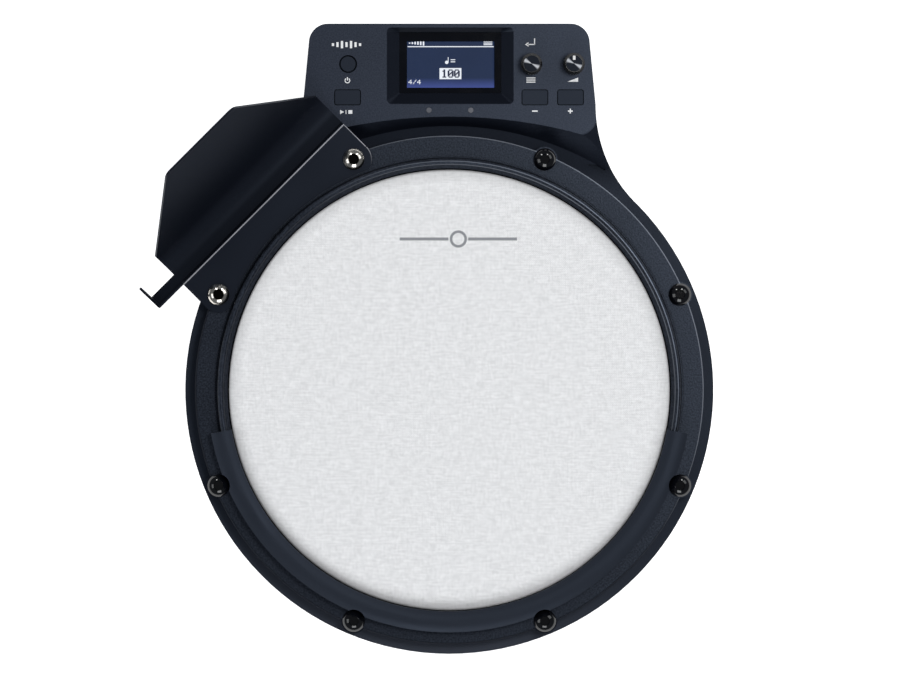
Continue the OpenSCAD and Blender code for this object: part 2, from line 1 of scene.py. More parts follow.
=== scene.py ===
import math
import bpy
import bmesh
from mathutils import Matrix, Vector


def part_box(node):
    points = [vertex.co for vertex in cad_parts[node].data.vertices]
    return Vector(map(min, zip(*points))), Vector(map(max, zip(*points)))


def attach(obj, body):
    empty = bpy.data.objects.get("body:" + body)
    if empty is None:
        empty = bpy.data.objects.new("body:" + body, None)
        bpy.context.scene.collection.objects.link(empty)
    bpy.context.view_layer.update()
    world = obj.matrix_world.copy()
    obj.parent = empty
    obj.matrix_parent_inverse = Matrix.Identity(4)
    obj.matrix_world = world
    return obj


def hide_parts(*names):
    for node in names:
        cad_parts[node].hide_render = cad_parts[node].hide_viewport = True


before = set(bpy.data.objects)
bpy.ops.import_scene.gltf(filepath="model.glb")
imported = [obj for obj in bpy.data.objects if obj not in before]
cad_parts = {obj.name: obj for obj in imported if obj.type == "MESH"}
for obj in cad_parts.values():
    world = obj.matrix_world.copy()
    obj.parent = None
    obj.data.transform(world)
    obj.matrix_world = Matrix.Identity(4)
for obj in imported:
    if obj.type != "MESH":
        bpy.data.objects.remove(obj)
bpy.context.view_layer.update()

MM = 0.001
scene = bpy.context.scene
scene.view_settings.view_transform = "Standard"
scene.view_settings.look = "None"

# ---------------------------------------------------------------- camera
CAMERA_UP = 3.0
VIEW_AT = (0.4 * MM, 30.2 * MM, 48 * MM)
VIEW_WIDTH = 517.5 * MM
SENSOR = 36
cam = bpy.data.cameras.new("camera")
cam.sensor_width = SENSOR
cam.lens = SENSOR * CAMERA_UP / VIEW_WIDTH
cam.clip_end = 20
cam.dof.use_dof = False
cam_obj = bpy.data.objects.new("camera", cam)
scene.collection.objects.link(cam_obj)
cam_obj.location = (VIEW_AT[0], VIEW_AT[1], VIEW_AT[2] + CAMERA_UP)
scene.camera = cam_obj

# ---------------------------------------------------------------- lights
STUDIO_CENTRE = (0, 0.03, 0.045)
SOFTBOX_AWAY = 1.2
SOFTBOX_UP = 0.95


def area(name, at, size, power, colour=(1, 1, 1)):
    """A square lamp that points at the middle of the pad."""
    light = bpy.data.lights.new(name, "AREA")
    light.energy = power
    light.color = colour
    light.size = size
    obj = bpy.data.objects.new(name, light)
    scene.collection.objects.link(obj)
    obj.location = at
    aim = Vector(STUDIO_CENTRE) - Vector(at)
    obj.rotation_euler = aim.to_track_quat("-Z", "Y").to_euler()


area("key", (0.36, 0.2, 1.3), 0.36, 4.4, (1, 0.99, 0.98))
for side in (-1, 1):
    area(f"sparkle_{side}", (0.5 * side, 0.98, 0.80), 0.2, 1.8)
for turn, power in ((30, 3.5), (190, 4.1), (270, 8.4)):
    angle = math.radians(turn)
    at = (SOFTBOX_AWAY * math.cos(angle),
          STUDIO_CENTRE[1] + SOFTBOX_AWAY * math.sin(angle), SOFTBOX_UP)
    area(f"softbox_{turn}", at, 0.75, power, (0.97, 0.985, 1))

world = bpy.data.worlds.new("studio")
scene.world = world
world.use_nodes = True
sky = world.node_tree.nodes["Background"]
sky.inputs["Color"].default_value = (0.9, 0.95, 1, 1)
sky.inputs["Strength"].default_value = 0.16


# ---------------------------------------------------------------- places on the frame
def spot(node):
    """The middle of a node seen from above, in millimetres."""
    low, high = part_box(node)
    return (low[0] + high[0]) / 2 / MM, (low[1] + high[1]) / 2 / MM


def top_of(node):
    """The height of a node's highest point, in metres."""
    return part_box(node)[1][2]


PANEL_Z = top_of("beat_lights")
HEAD_Z = top_of("mesh_head")
SCREEN_Z = top_of("display_panel") + 0.04 * MM
BOLT_CIRCLE = math.hypot(*spot("bolt_washer_1")) * MM
# The lit picture: its middle, its size and the size of the clear window over it, in millimetres
PICTURE_AT = (spot("display_lens")[0] + 0.15, spot("display_lens")[1] - 1.05)
PICTURE_SIZE = (50.6, 26.9)
WINDOW_SIZE = (50.3, 26.7)

# ---------------------------------------------------------------- materials
# Blue-black of the shell and the hoop, and the cool tint of its shine
BODY = (0.0045, 0.0058, 0.0100)
SHEEN_TINT = (0.62, 0.75, 1.0, 1)


class Mat:
    """A node material with a principled surface. Lengths in it are in metres."""

    def __init__(self, name, base, rough, metallic=0.0, specular=0.5):
        self.mat = bpy.data.materials.new(name)
        self.mat.use_nodes = True
        self.tree = self.mat.node_tree
        self.surface = self.tree.nodes["Principled BSDF"]
        self.put("Base Color", (*base, 1))
        self.put("Roughness", rough)
        self.put("Metallic", metallic)
        self.put("Specular IOR Level", specular)
        self.coords = self.node("ShaderNodeTexCoord").outputs["Object"]

    def put(self, socket, value):
        self.surface.inputs[socket].default_value = value

    def node(self, kind, **props):
        made = self.tree.nodes.new(kind)
        for key, value in props.items():
            setattr(made, key, value)
        return made

    def join(self, a, b):
        self.tree.links.new(a, b)

    def feed(self, socket, value):
        if isinstance(value, (int, float)):
            socket.default_value = value
        else:
            self.join(value, socket)

    def calc(self, kind, a, b=0.0):
        made = self.node("ShaderNodeMath", operation=kind)
        self.feed(made.inputs[0], a)
        self.feed(made.inputs[1], b)
        return made.outputs[0]

    def plus(self, a, b):
        return self.calc("ADD", a, b)

    def minus(self, a, b):
        return self.calc("SUBTRACT", a, b)

    def times(self, first, *rest):
        for value in rest:
            first = self.calc("MULTIPLY", first, value)
        return first

    def most(self, a, b):
        return self.calc("MAXIMUM", a, b)

    def over(self, value, limit):
        return self.calc("GREATER_THAN", value, limit)

    def under(self, value, limit):
        return self.calc("LESS_THAN", value, limit)

    def off(self, value, at):
        """How far value is from at."""
        return self.calc("ABSOLUTE", self.minus(value, at))

    def hypot(self, a, b):
        return self.calc("SQRT", self.plus(self.times(a, a), self.times(b, b)))

    def near(self, value, at, reach):
        """1 where value is within reach of at, falling off over half a reach."""
        return self.spread(self.off(value, at), 1, 0, reach * 0.75, reach * 1.25)

    def inside(self, x, y, at, size):
        """1 inside the upright rectangle of this middle and size, both in millimetres."""
        return self.times(self.under(self.off(x, at[0] * MM), size[0] / 2 * MM),
                          self.under(self.off(y, at[1] * MM), size[1] / 2 * MM))

    def axes(self):
        """The X, Y and Z of the point."""
        split = self.node("ShaderNodeSeparateXYZ")
        self.join(self.coords, split.inputs[0])
        return tuple(split.outputs)

    def stretched(self, scale):
        made = self.node("ShaderNodeMapping")
        self.join(self.coords, made.inputs[0])
        made.inputs["Scale"].default_value = scale
        return made.outputs[0]

    def noise(self, scale, detail=2.0, rough=0.5, coords=None):
        made = self.node("ShaderNodeTexNoise")
        self.join(coords or self.coords, made.inputs["Vector"])
        made.inputs["Scale"].default_value = scale
        made.inputs["Detail"].default_value = detail
        made.inputs["Roughness"].default_value = rough
        return made.outputs["Fac"]

    def spread(self, value, low, high, a=0.3, b=0.7):
        """Runs from low to high while value runs from a to b, and stays level outside."""
        made = self.node("ShaderNodeMapRange")
        self.feed(made.inputs["Value"], value)
        made.inputs["From Min"].default_value = a
        made.inputs["From Max"].default_value = b
        made.inputs["To Min"].default_value = low
        made.inputs["To Max"].default_value = high
        return made.outputs[0]

    def tint(self, value, colour_a, colour_b):
        """From colour a where value is 0 to colour b where it is 1."""
        made = self.node("ShaderNodeMix", data_type="RGBA")
        self.feed(made.inputs["Factor"], value)
        for key, colour in (("A", colour_a), ("B", colour_b)):
            socket = [s for s in made.inputs if s.name == key and s.type == "RGBA"][0]
            if isinstance(colour, tuple):
                socket.default_value = (*colour, 1)
            else:
                self.join(colour, socket)
        return [s for s in made.outputs if s.type == "RGBA"][0]

    def bump(self, height, strength, depth):
        made = self.node("ShaderNodeBump")
        made.inputs["Strength"].default_value = strength
        made.inputs["Distance"].default_value = depth
        self.join(height, made.inputs["Height"])
        return made.outputs[0]

    def blend(self, mask, base, rough, specular, normal=None):
        """Mixes in a second surface of its own colour, roughness and shine where mask is 1."""
        other = self.node("ShaderNodeBsdfPrincipled")
        other.inputs["Base Color"].default_value = (*base, 1)
        other.inputs["Roughness"].default_value = rough
        other.inputs["Specular IOR Level"].default_value = specular
        other.inputs["Specular Tint"].default_value = SHEEN_TINT
        if normal:
            self.join(normal, other.inputs["Normal"])
        output = self.tree.nodes["Material Output"].inputs["Surface"]
        self.join(self.mixed(mask, output.links[0].from_socket, other.outputs[0]), output)

    def mixed(self, mask, shader_a, shader_b):
        mix = self.node("ShaderNodeMixShader")
        self.join(mask, mix.inputs[0])
        self.join(shader_a, mix.inputs[1])
        self.join(shader_b, mix.inputs[2])
        return mix.outputs[0]

    def finish(self, colour=None, rough=None, normal=None):
        if colour:
            self.join(colour, self.surface.inputs["Base Color"])
        if rough:
            self.join(rough, self.surface.inputs["Roughness"])
        if normal:
            self.join(normal, self.surface.inputs["Normal"])
        return self.mat


def scaled(colour, k):
    return tuple(c * k for c in colour)


def moulded(name, base, rough, grain=1300, depth=0.00006, speck=0.18, specular=0.42):
    """Moulded plastic or rubber with a fine eroded grain and faint handling marks."""
    m = Mat(name, base, rough, specular=specular)
    m.put("Specular Tint", SHEEN_TINT)
    fine = m.noise(grain, 3.0, 0.6)
    broad = m.noise(22)
    shade = m.plus(m.spread(fine, 0, 0.7), m.spread(broad, 0, 0.3))
    colour = m.tint(shade, scaled(base, 1 - speck), scaled(base, 1 + speck))
    roughness = m.spread(broad, rough - 0.05, rough + 0.05)
    return m.finish(colour, roughness, m.bump(fine, 0.6, depth))


def shell_plastic():
    """Grained shell: a lighter satin panel on top, painted shade in the recess round the
    display, by the module and towards the right, and painted light towards the front.
    """
    well_at = (0.5, 186.7)
    well_size = (73.0, 43.8)
    far_wall_y = 206.45 * MM
    m = Mat("shell_grain", BODY, 0.40, specular=0.42)
    m.put("Specular Tint", SHEEN_TINT)
    x, y, z = m.axes()
    on_panel = m.over(z, PANEL_Z - 0.15 * MM)
    below = m.minus(1.0, on_panel)
    in_well = m.times(m.inside(x, y, well_at, well_size), below)
    lit_far_wall = m.times(in_well, m.over(y, far_wall_y))
    fine = m.noise(1300, 3.0, 0.6)
    broad = m.noise(22)
    shade = m.plus(m.spread(fine, 0.25, 0.88, 0.38, 0.62), m.spread(broad, -0.05, 0.05))
    # Painted light: the rim is painted lighter towards the front, as if lit from that side.
    front_light = m.spread(y, 1, 0, -0.148, -0.06)
    colour = m.tint(front_light, BODY, (0.0260, 0.0285, 0.0370))
    colour = m.tint(m.times(on_panel, shade), colour, (0.0225, 0.0262, 0.0390))
    depth = m.times(fine, m.minus(1.0, m.times(on_panel, 0.6)))
    normal = m.bump(depth, 0.9, 0.00009)
    m.finish(colour, m.spread(broad, 0.37, 0.43), normal)
    # Painted shade: darker and less shiny by the module, towards the right and in the recess
    # round the display. The recess's far wall is left lighter, as if lit.
    by_module = m.times(m.spread(y, 0, 0.8, 0.100, 0.128), m.minus(1.0, in_well))
    to_right = m.spread(x, 0, 0.45, 0.03, 0.12)
    dull_shade = m.times(m.most(by_module, to_right), below)
    well = m.times(m.minus(in_well, lit_far_wall), 0.8)
    m.blend(m.most(dull_shade, well), (0.0055, 0.0068, 0.0115), 0.45, 0.06, normal)
    return m.mat


def hoop_plastic():
    """Coarsely grained hoop with painted highlights along its outer edge and along the bead,
    and painted shade on its outer band and in its groove.
    """
    edge_r = 146.0 * MM
    edge_above = 47.0 * MM
    bead_top_r = 131.45 * MM
    bead_inner_r = 129.6 * MM
    groove_r = 133.4 * MM
    rim_r = (145.1 * MM, 145.6 * MM)
    light_azimuth = math.radians(48)
    m = Mat("hoop_grain", BODY, 0.37, specular=0.35)
    m.put("Specular Tint", SHEEN_TINT)
    x, y, z = m.axes()
    radius = m.hypot(x, y)
    toward = m.plus(m.times(x, math.cos(light_azimuth)), m.times(y, math.sin(light_azimuth)))
    fine = m.noise(1000, 3.0, 0.65)
    broad = m.noise(22)
    level = m.plus(m.spread(fine, 0, 1, 0.38, 0.62), m.spread(broad, -0.08, 0.08))
    colour = m.tint(level, (0.0008, 0.0010, 0.0022), (0.0165, 0.0195, 0.0275))
    m.finish(colour, m.spread(broad, 0.34, 0.40), m.bump(fine, 1.0, 0.00012))
    # Painted highlights along the outer edge and the bead, on the side facing the light only.
    edge = m.times(m.near(radius, edge_r, 0.00030), m.over(z, edge_above))
    bead = m.most(m.near(radius, bead_top_r, 0.00028), m.near(radius, bead_inner_r, 0.00025))
    rim_highlight = m.times(m.most(edge, m.times(bead, 0.8)), m.spread(toward, 0, 1, 0.02, 0.14))
    m.blend(m.times(rim_highlight, 0.85), (0.20, 0.22, 0.26), 0.25, 0.5)
    # Painted shade on the outer band, on the side away from the light.
    away = m.minus(1.0, m.spread(toward, 0, 1, -0.02, 0.08))
    outer = m.times(m.spread(radius, 0, 0.9, *rim_r), away)
    m.blend(outer, (0.007, 0.0085, 0.013), 0.5, 0.06)
    # Painted shade in the groove between the bead and the flat.
    groove = m.times(m.near(radius, groove_r, 0.00040), 0.8)
    m.blend(groove, (0.002, 0.0025, 0.004), 0.5, 0.05)
    return m.mat


def metal(name, base, rough, scale=(60, 60, 2500)):
    """Machined or stamped metal with fine lines and small marks."""
    m = Mat(name, base, rough, metallic=1.0)
    lines = m.noise(1.0, 2.0, 0.6, m.stretched(scale))
    marks = m.noise(90, 3.0, 0.6)
    colour = m.tint(m.spread(marks, 0, 1), scaled(base, 0.86), base)
    return m.finish(colour, m.spread(marks, rough * 0.75, rough * 1.3),
                    m.bump(lines, 0.15, 0.00002))


def sheet_paint():
    """Satin black powder coat, slightly orange-peeled, with painted highlights along its edges
    and painted shade in its trough.

    out is the distance from the ring's axis towards the back plate, and along is the
    distance along the fold from the middle of the rest.
    """
    fold_out = 150.8 * MM
    flange_end = 65.05 * MM
    corner_r = 10.22 * MM
    flange_above = 49.0 * MM
    root = math.sqrt(0.5)
    bolt_x, bolt_y = spot("bolt_washer_3")
    bolt_out = (bolt_y - bolt_x) * root * MM
    bolt_along = (bolt_x + bolt_y) * root * MM
    base = (0.0052, 0.0064, 0.0105)
    m = Mat("rest_paint", base, 0.36, specular=0.24)
    m.put("Specular Tint", SHEEN_TINT)
    x, y, z = m.axes()
    out = m.times(m.minus(y, x), root)
    along = m.times(m.plus(x, y), root)
    peel = m.noise(420)
    broad = m.noise(14)
    colour = m.tint(m.spread(broad, 0, 1), scaled(base, 0.9), scaled(base, 1.12))
    normal = m.bump(peel, 0.10, 0.00004)
    m.finish(colour, m.spread(broad, 0.33, 0.40), normal)
    # Painted shade in the trough of the bend.
    trough_shade = m.times(m.over(out, 0.1520), m.spread(out, 0.55, 0, 0.1580, 0.1690))
    m.blend(trough_shade, (0.0012, 0.0016, 0.003), 0.4, 0.08, normal)
    # Painted highlights along the fold, the flange's end and its rounded corner, broken up by
    # noise.
    fold = m.near(out, fold_out, 0.00034)
    end = m.times(m.near(along, flange_end, 0.00026), m.under(out, 0.1502),
                  m.over(out, 0.1330))
    from_bolt = m.hypot(m.minus(out, bolt_out), m.minus(along, bolt_along))
    corner = m.times(m.near(from_bolt, corner_r, 0.00026), m.under(out, bolt_out),
                     m.spread(out, 0, 0.9, 0.1235, 0.1320), m.over(along, 0.055))
    highlight_breakup = m.spread(m.noise(60), 0.65, 1.0)
    edge_highlight = m.times(m.most(fold, m.most(end, corner)), m.over(z, flange_above), highlight_breakup)
    m.blend(edge_highlight, (0.42, 0.42, 0.45), 0.3, 0.5)
    return m.mat


def weave():
    """Plain-woven mesh cloth: crossing threads, thread-to-thread variation, soft slubs and
    painted shade near the lip.
    """
    thread_pitch = 1.23 * MM
    edge_r = (118.5 * MM, 126.5 * MM)
    base = (0.925, 0.926, 0.935)
    m = Mat("head_cloth", base, 0.75, specular=0.2)
    x, y, _ = m.axes()
    turns = 2 * math.pi / thread_pitch
    sway = m.times(m.noise(45), 2.5)
    wave_x = m.calc("COSINE", m.plus(m.times(x, turns), sway))
    wave_y = m.calc("COSINE", m.plus(m.times(y, turns * 0.93), sway))
    crossing = m.spread(m.times(wave_x, wave_y), 0, 1, -1, 1)
    gaps = m.most(m.spread(wave_x, 0, 1, -1, 1), m.spread(wave_y, 0, 1, -1, 1))
    warp = m.noise(1.0, 2.0, 0.6, m.stretched((820, 180, 1)))
    weft = m.noise(1.0, 2.0, 0.6, m.stretched((140, 900, 1)))
    knots = m.noise(760, 2.0, 0.6)
    patch = m.noise(150, 3.0, 0.6)
    height = m.plus(m.times(crossing, 0.7), m.times(gaps, 0.3))
    threads = m.plus(m.spread(warp, 0, 0.30, 0.36, 0.64), m.spread(weft, 0, 0.42, 0.36, 0.64))
    threads = m.plus(threads, m.spread(knots, 0, 0.28, 0.36, 0.64))
    swing = m.times(m.minus(height, 0.56), m.spread(patch, 0.6, 1.2))
    depth = m.plus(swing, 0.50)
    value = m.plus(m.times(depth, 0.42), m.times(threads, 0.58))
    colour = m.tint(value, scaled(base, 0.71), scaled(base, 1.13))
    # Painted shade on the cloth near the lip.
    lip_shade = m.spread(m.hypot(x, y), 0, 0.4, *edge_r)
    colour = m.tint(lip_shade, colour, scaled(base, 0.45))
    return m.finish(colour, None, m.bump(value, 0.5, 0.00016))


def glossy(name, base, rough, specular=0.5):
    """Polished plastic or gloss enamel with faint smears."""
    m = Mat(name, base, rough, specular=specular)
    smear = m.noise(120, 3.0, 0.6)
    colour = m.tint(m.spread(smear, 0, 1), scaled(base, 0.85), scaled(base, 1.15))
    return m.finish(colour, m.spread(smear, rough * 0.85, rough * 1.15),
                    m.bump(smear, 0.02, 0.00001))


def knob_finish(knob):
    """Gloss plastic side with a spun face that carries a painted highlight in two opposite
    wedges.
    """
    groove_pitch = 0.22 * MM
    face_r = 4.6 * MM
    lean = math.radians(-27)
    centre = spot(knob)
    m = Mat(f"{knob}_face", (0.0035, 0.0040, 0.0055), 0.22, specular=0.4)
    x, y, z = m.axes()
    dx = m.minus(x, centre[0] * MM)
    dy = m.minus(y, centre[1] * MM)
    radius = m.hypot(dx, dy)
    rings = m.calc("SINE", m.times(radius, 2 * math.pi / groove_pitch))
    spun = m.bump(rings, 0.1, 0.00001)
    on_top = m.over(z, top_of(knob) - 0.7 * MM)
    face = m.times(on_top, m.under(radius, face_r))
    smear = m.noise(300)
    m.finish(None, m.spread(smear, 0.18, 0.26), m.bump(smear, 0.1, 0.00003))
    # Painted highlight: two opposite light wedges on the spun face.
    across = m.minus(m.times(dy, math.cos(lean)), m.times(dx, math.sin(lean)))
    sine = m.calc("ABSOLUTE", m.calc("DIVIDE", across, m.plus(radius, 0.0001)))
    wedge_highlight = m.spread(sine, 0.9, 0, 0.10, 0.36)
    m.blend(face, (0.006, 0.007, 0.010), 0.3, 0.12, spun)
    m.blend(m.times(face, wedge_highlight), (0.60, 0.61, 0.63), 0.3, 0.5, spun)
    return m.mat


def lens_finish():
    """Clear window with a black printed border round the display's picture.

    Only the outer face reflects, because the inner one would turn the view away at a slant.
    """
    low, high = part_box("display_lens")
    m = Mat("lens_window", (0.0012, 0.0018, 0.0040), 0.09, specular=0.25)
    x, y, z = m.axes()
    window = m.inside(x, y, PICTURE_AT, WINDOW_SIZE)
    outer_face = m.over(z, (low[2] + high[2]) / 2)
    smear = m.noise(60, 3.0, 0.6)
    m.finish(None, m.spread(smear, 0.06, 0.14))
    clear = m.node("ShaderNodeBsdfTransparent")
    clear.inputs["Color"].default_value = (0.93, 0.94, 0.96, 1)
    shine = m.node("ShaderNodeBsdfGlossy")
    shine.inputs["Roughness"].default_value = 0.1
    shine.inputs["Color"].default_value = (0.45, 0.45, 0.45, 1)
    fresnel = m.node("ShaderNodeFresnel")
    fresnel.inputs["IOR"].default_value = 1.45
    reflected = m.times(fresnel.outputs[0], outer_face)
    glass = m.mixed(reflected, clear.outputs[0], shine.outputs[0])
    m.join(m.mixed(window, m.surface.outputs[0], glass),
           m.tree.nodes["Material Output"].inputs["Surface"])
    return m.mat


def lit(name, low, high, strength=1.0):
    """Backlit picture: colour runs from low at its near edge to high, with a faint grid."""
    pixel = 0.4 * MM
    near_edge = (PICTURE_AT[1] - 13.85) * MM
    settled = (PICTURE_AT[1] - 7.65) * MM
    m = Mat(name, (0, 0, 0), 0.6)
    x, y, _ = m.axes()
    ramp = m.spread(y, 0, 1, near_edge, settled)
    grid = m.calc("COSINE", m.times(x, 2 * math.pi / pixel))
    cloud = m.noise(40)
    level = m.plus(m.spread(grid, -0.03, 0.03, -1, 1), m.spread(cloud, 0.92, 1.08))
    m.join(m.tint(ramp, low, high), m.surface.inputs["Emission Color"])
    m.join(m.times(level, strength), m.surface.inputs["Emission Strength"])
    return m.mat


def ink(name, base, rough=0.5):
    """Screen-printed ink with slightly uneven cover."""
    m = Mat(name, base, rough)
    cover = m.noise(900, 3.0, 0.6)
    colour = m.tint(m.spread(cover, 0, 1), scaled(base, 0.88), base)
    return m.finish(colour, m.spread(cover, rough - 0.06, rough + 0.08),
                    m.bump(cover, 0.1, 0.00001))


def foam():
    """Open-celled black foam."""
    m = Mat("foam_cells", (0.03, 0.03, 0.034), 0.9)
    cells = m.node("ShaderNodeTexVoronoi")
    m.join(m.coords, cells.inputs["Vector"])
    cells.inputs["Scale"].default_value = 900
    depth = cells.outputs["Distance"]
    colour = m.tint(depth, (0.05, 0.05, 0.055), (0.015, 0.015, 0.018))
    return m.finish(colour, None, m.bump(depth, 0.6, 0.0003))


def plated():
    """Bright nickel with painted shade in the hex socket in the middle of each head."""
    socket_r = (3.0 * MM, 3.4 * MM)
    step = math.radians(45)
    m = Mat("bolt_nickel", (0.74, 0.70, 0.64), 0.16, metallic=1.0)
    x, y, _ = m.axes()
    turn = m.minus(m.calc("FLOORED_MODULO", m.calc("ARCTAN2", y, x), step), step / 2)
    reach = m.hypot(x, y)
    along = m.minus(m.times(reach, m.calc("COSINE", turn)), BOLT_CIRCLE)
    across = m.times(reach, m.calc("SINE", turn))
    # Painted shade in the hex socket.
    socket_shade = m.spread(m.hypot(along, across), 1, 0, *socket_r)
    marks = m.noise(90, 3.0, 0.6)
    shiny = m.tint(m.spread(marks, 0, 1), (0.62, 0.59, 0.54), (0.76, 0.72, 0.66))
    colour = m.tint(socket_shade, shiny, (0.012, 0.011, 0.010))
    return m.finish(colour, m.spread(marks, 0.13, 0.22), m.bump(marks, 0.05, 0.00002))


ZINC = (0.5, 0.51, 0.53)
STEEL = (0.55, 0.56, 0.58)
TIN = (0.6, 0.61, 0.63)
BRASS = (0.72, 0.53, 0.26)
BLACK_RUBBER = (0.012, 0.012, 0.013)
looks = {
    "upper_shell": shell_plastic(),
    "bottom_plate": moulded("base_grain", (0.010, 0.012, 0.016), 0.55),
    "hoop": hoop_plastic(),
    "rim_guard": moulded("guard_rubber", (0.0125, 0.0150, 0.0215), 0.5, grain=2600,
                         depth=0.00002, speck=0.06, specular=0.3),
    "rubber_feet": moulded("foot_rubber", BLACK_RUBBER, 0.8),
    "device_rest": sheet_paint(),
    "flesh_ring": metal("ring_satin", STEEL, 0.35),
    "case_screws": metal("screw_zinc", ZINC, 0.35),
    "board_screws": metal("board_screw_zinc", ZINC, 0.35),
    "plate_screws": metal("plate_screw_zinc", ZINC, 0.35),
    "stand_insert": metal("insert_brass", BRASS, 0.3),
    "bolt_inserts": metal("bush_brass", BRASS, 0.3),
    "display_lens": lens_finish(),
    "display_panel": glossy("display_module", (0.02, 0.022, 0.03), 0.2),
    "main_board": glossy("solder_mask", (0.02, 0.09, 0.035), 0.3),
    "encoder_body": metal("encoder_can", STEEL, 0.3),
    "encoder_plunger": moulded("plunger_plastic", (0.7, 0.68, 0.62), 0.5),
    "menu_knob": knob_finish("menu_knob"),
    "volume_knob": knob_finish("volume_knob"),
    "volume_pot": metal("pot_can", STEEL, 0.3),
    "volume_pointer": ink("pointer_white", (0.85, 0.85, 0.84)),
    "button_switches": metal("switch_can", TIN, 0.35),
    "beat_lights": glossy("light_pipe", (0.10, 0.105, 0.125), 0.25),
    "indicator_leds": glossy("led_case", (0.6, 0.58, 0.5), 0.3),
    "headphone_jack": moulded("headphone_socket", BLACK_RUBBER, 0.4),
    "audio_input_jack": moulded("input_socket", BLACK_RUBBER, 0.4),
    "power_socket": metal("socket_shell", TIN, 0.3),
    "sensor_plate": metal("sensor_plate_zinc", ZINC, 0.4),
    "sensor_pad": foam(),
    "sensor_cone": foam(),
    "head_sensor": metal("sensor_brass", BRASS, 0.35),
    "rim_sensor": metal("rim_sensor_brass", BRASS, 0.35),
}
key_look = moulded("key_plastic", (0.0080, 0.0100, 0.0155), 0.45, grain=2000, depth=0.00003,
                   specular=0.32)
for name in ("power_button", "play_button", "minus_button", "plus_button"):
    looks[name] = key_look
black_bolt = glossy("bolt_enamel", (0.0022, 0.0026, 0.0040), 0.05)
nickel = plated()
washer = glossy("washer_black", (0.003, 0.0034, 0.0045), 0.5, specular=0.1)
REST_BOLTS = (3, 4)
for k in range(1, 9):
    looks[f"tension_bolt_{k}"] = nickel if k in REST_BOLTS else black_bolt
    looks[f"bolt_washer_{k}"] = washer

for name, mat in looks.items():
    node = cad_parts[name]
    if len(node.material_slots) == 0:
        node.data.materials.append(mat)
    for slot in node.material_slots:
        slot.material = mat


# ---------------------------------------------------------------- new pieces
def dress(obj, mat):
    obj.data.materials.clear()
    obj.data.materials.append(mat)


def piece(name, mesh, mat):
    """A new object that rides on the pad's body."""
    obj = bpy.data.objects.new(name, mesh)
    scene.collection.objects.link(obj)
    dress(obj, mat)
    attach(obj, "body")
    return obj


def flat_shapes(name, outlines, z, mat, thick=0.04):
    """Thin printed shapes: each outline is a list of millimetre points, extruded a little."""
    mesh = bpy.data.meshes.new(name)
    bm = bmesh.new()
    for outline in outlines:
        low = [bm.verts.new((x * MM, y * MM, z)) for x, y in outline]
        high = [bm.verts.new((x * MM, y * MM, z + thick * MM)) for x, y in outline]
        count = len(outline)
        bm.faces.new(high)
        bm.faces.new(list(reversed(low)))
        for i in range(count):
            j = (i + 1) % count
            bm.faces.new((low[i], low[j], high[j], high[i]))
    bmesh.ops.recalc_face_normals(bm, faces=bm.faces)
    bm.to_mesh(mesh)
    bm.free()
    return piece(name, mesh, mat)


def bar(cx, cy, w, h):
    """A rectangle's four corners."""
    return [(cx - w / 2, cy - h / 2), (cx + w / 2, cy - h / 2),
            (cx + w / 2, cy + h / 2), (cx - w / 2, cy + h / 2)]


def arc_band(cx, cy, r, width, start=0, sweep=360, steps=28):
    """Quads that follow an arc of the given width."""
    quads = []
    inner = r - width / 2
    outer = r + width / 2
    for i in range(steps):
        a = math.radians(start + sweep * i / steps)
        b = math.radians(start + sweep * (i + 1) / steps)
        quads.append([(cx + reach * math.cos(angle), cy + reach * math.sin(angle))
                      for reach, angle in ((inner, a), (outer, a), (outer, b), (inner, b))])
    return quads


def moved(outlines, at):
    """The same outlines with their own origin put at a point."""
    return [[(x + at[0], y + at[1]) for x, y in outline] for outline in outlines]


# ---------------------------------------------------------------- printed marks
# Each mark is drawn from the middle of the control that it belongs to, in millimetres.
power_mark = arc_band(-0.4, -9.5, 1.35, 0.5, 125, 290)
power_mark += [bar(-0.4, -8.5, 0.55, 1.9)]
play_mark = [[(-4.3, -9.6), (-2.0, -8.4), (-4.3, -7.2)]]
play_mark += [bar(-0.9, -8.4, 0.45, 2.3), bar(1.6, -8.4, 2.3, 2.1)]
minus_mark = [bar(0, -7.9, 3.3, 0.75)]
plus_mark = [bar(-0.1, -7.9, 2.7, 0.75), bar(-0.1, -7.03, 0.75, 1.0),
             bar(-0.1, -8.77, 0.75, 1.0)]
menu_mark = [bar(-0.3, -8.9 + step, 5.2, 0.6) for step in (-1.2, 0, 1.2)]
volume_mark = [[(-3.7, -10.0), (2.5, -10.0), (2.5, -7.6)]]
input_mark = [bar(-0.4, 11.6, 4.4, 0.55), bar(1.8, 13.2, 0.55, 3.7),
              [(-3.7, 11.6), (-1.7, 12.9), (-1.7, 10.3)]]
wave_mark = [bar(-8.7 + 2.6 * i, 11.2, 1.3, tall)
             for i, tall in enumerate((1.6, 2.8, 4.2, 2.8, 4.2, 2.8, 1.6))]
prints = []
for control, mark in (("power_button", power_mark + wave_mark), ("play_button", play_mark),
                      ("minus_button", minus_mark), ("plus_button", plus_mark),
                      ("menu_knob", menu_mark + input_mark), ("volume_knob", volume_mark)):
    prints += moved(mark, spot(control))
flat_shapes("panel_prints", prints, PANEL_Z, ink("panel_ink", (0.93, 0.94, 0.95)))

head_mark = arc_band(5.2, 86.8, 4.2, 1.5, steps=48)
head_mark += [bar(-14.5, 86.8, 28, 1.7), bar(24.9, 86.8, 28, 1.7)]
flat_shapes("head_print", head_mark, HEAD_Z + 0.03 * MM,
            ink("head_ink", (0.30, 0.31, 0.33), 0.7), 0.03)


